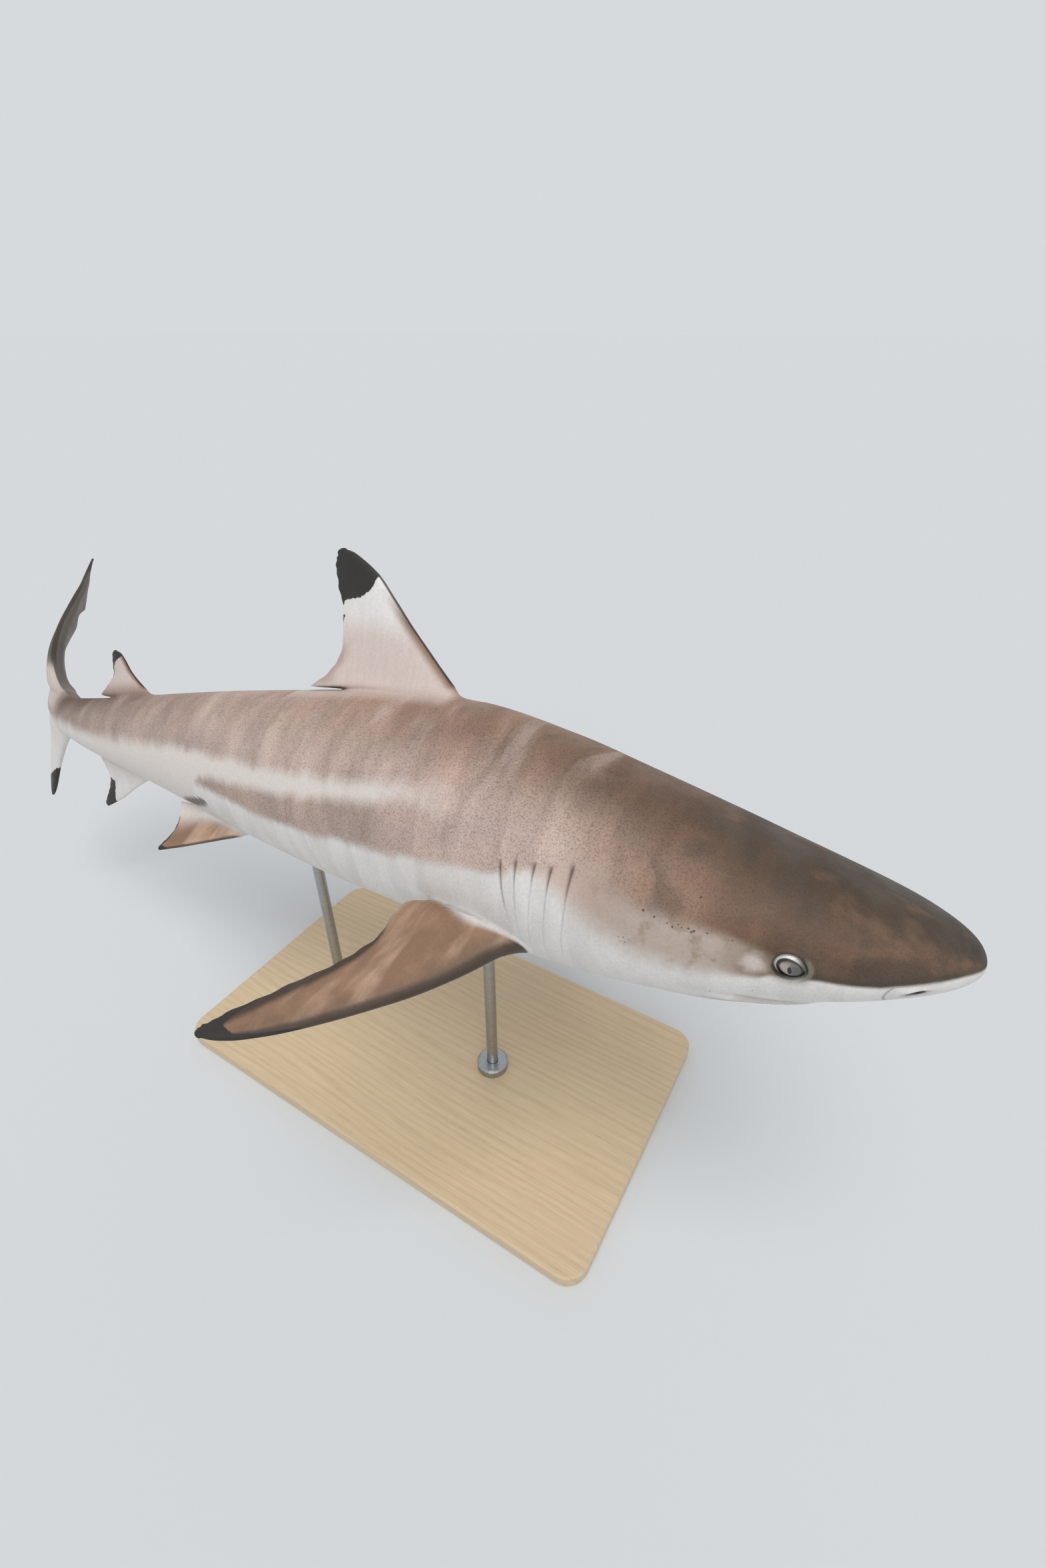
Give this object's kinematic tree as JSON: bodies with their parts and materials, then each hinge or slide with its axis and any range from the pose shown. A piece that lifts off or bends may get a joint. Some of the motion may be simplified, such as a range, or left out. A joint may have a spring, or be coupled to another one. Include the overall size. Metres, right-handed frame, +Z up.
{
  "type": "blacktip reef shark model",
  "caption": "Life-size still model of a swimming blacktip reef shark with black-tipped fins, banked in a gentle bend, on a flat base with two rods.",
  "frame": {"origin": "centre of the stand base's underside", "axes": "+X along the shark towards its head, +Y towards its left side, +Z up"},
  "size_m": [1.2571, 0.4696, 0.5457],
  "materials": {
    "skin": "satin, finely rough; brown above, white below, with black fin tips",
    "eye": "glossy, grey iris with a dark upright slit pupil",
    "stand_wood": "pale ash under a satin varnish",
    "stand_steel": "brushed"
  },
  "bodies": {
    "root": {"head": "skin", "lower_jaw": "skin", "gill_region": "skin", "trunk_front": "skin", "trunk_rear": "skin", "tail_stem": "skin", "tail_fin_upper": "skin", "tail_fin_lower": "skin", "dorsal_fin_first": "skin", "dorsal_fin_second": "skin", "anal_fin": "skin", "pectoral_fin_left": "skin", "pectoral_fin_right": "skin", "pelvic_fin_left": "skin", "pelvic_fin_right": "skin", "eye_left": "eye", "eye_right": "eye", "stand_base": "stand_wood", "stand_rod_front": "stand_steel", "stand_rod_rear": "stand_steel", "stand_collar_front": "stand_steel", "stand_collar_rear": "stand_steel"}
  },
  "joints": []
}
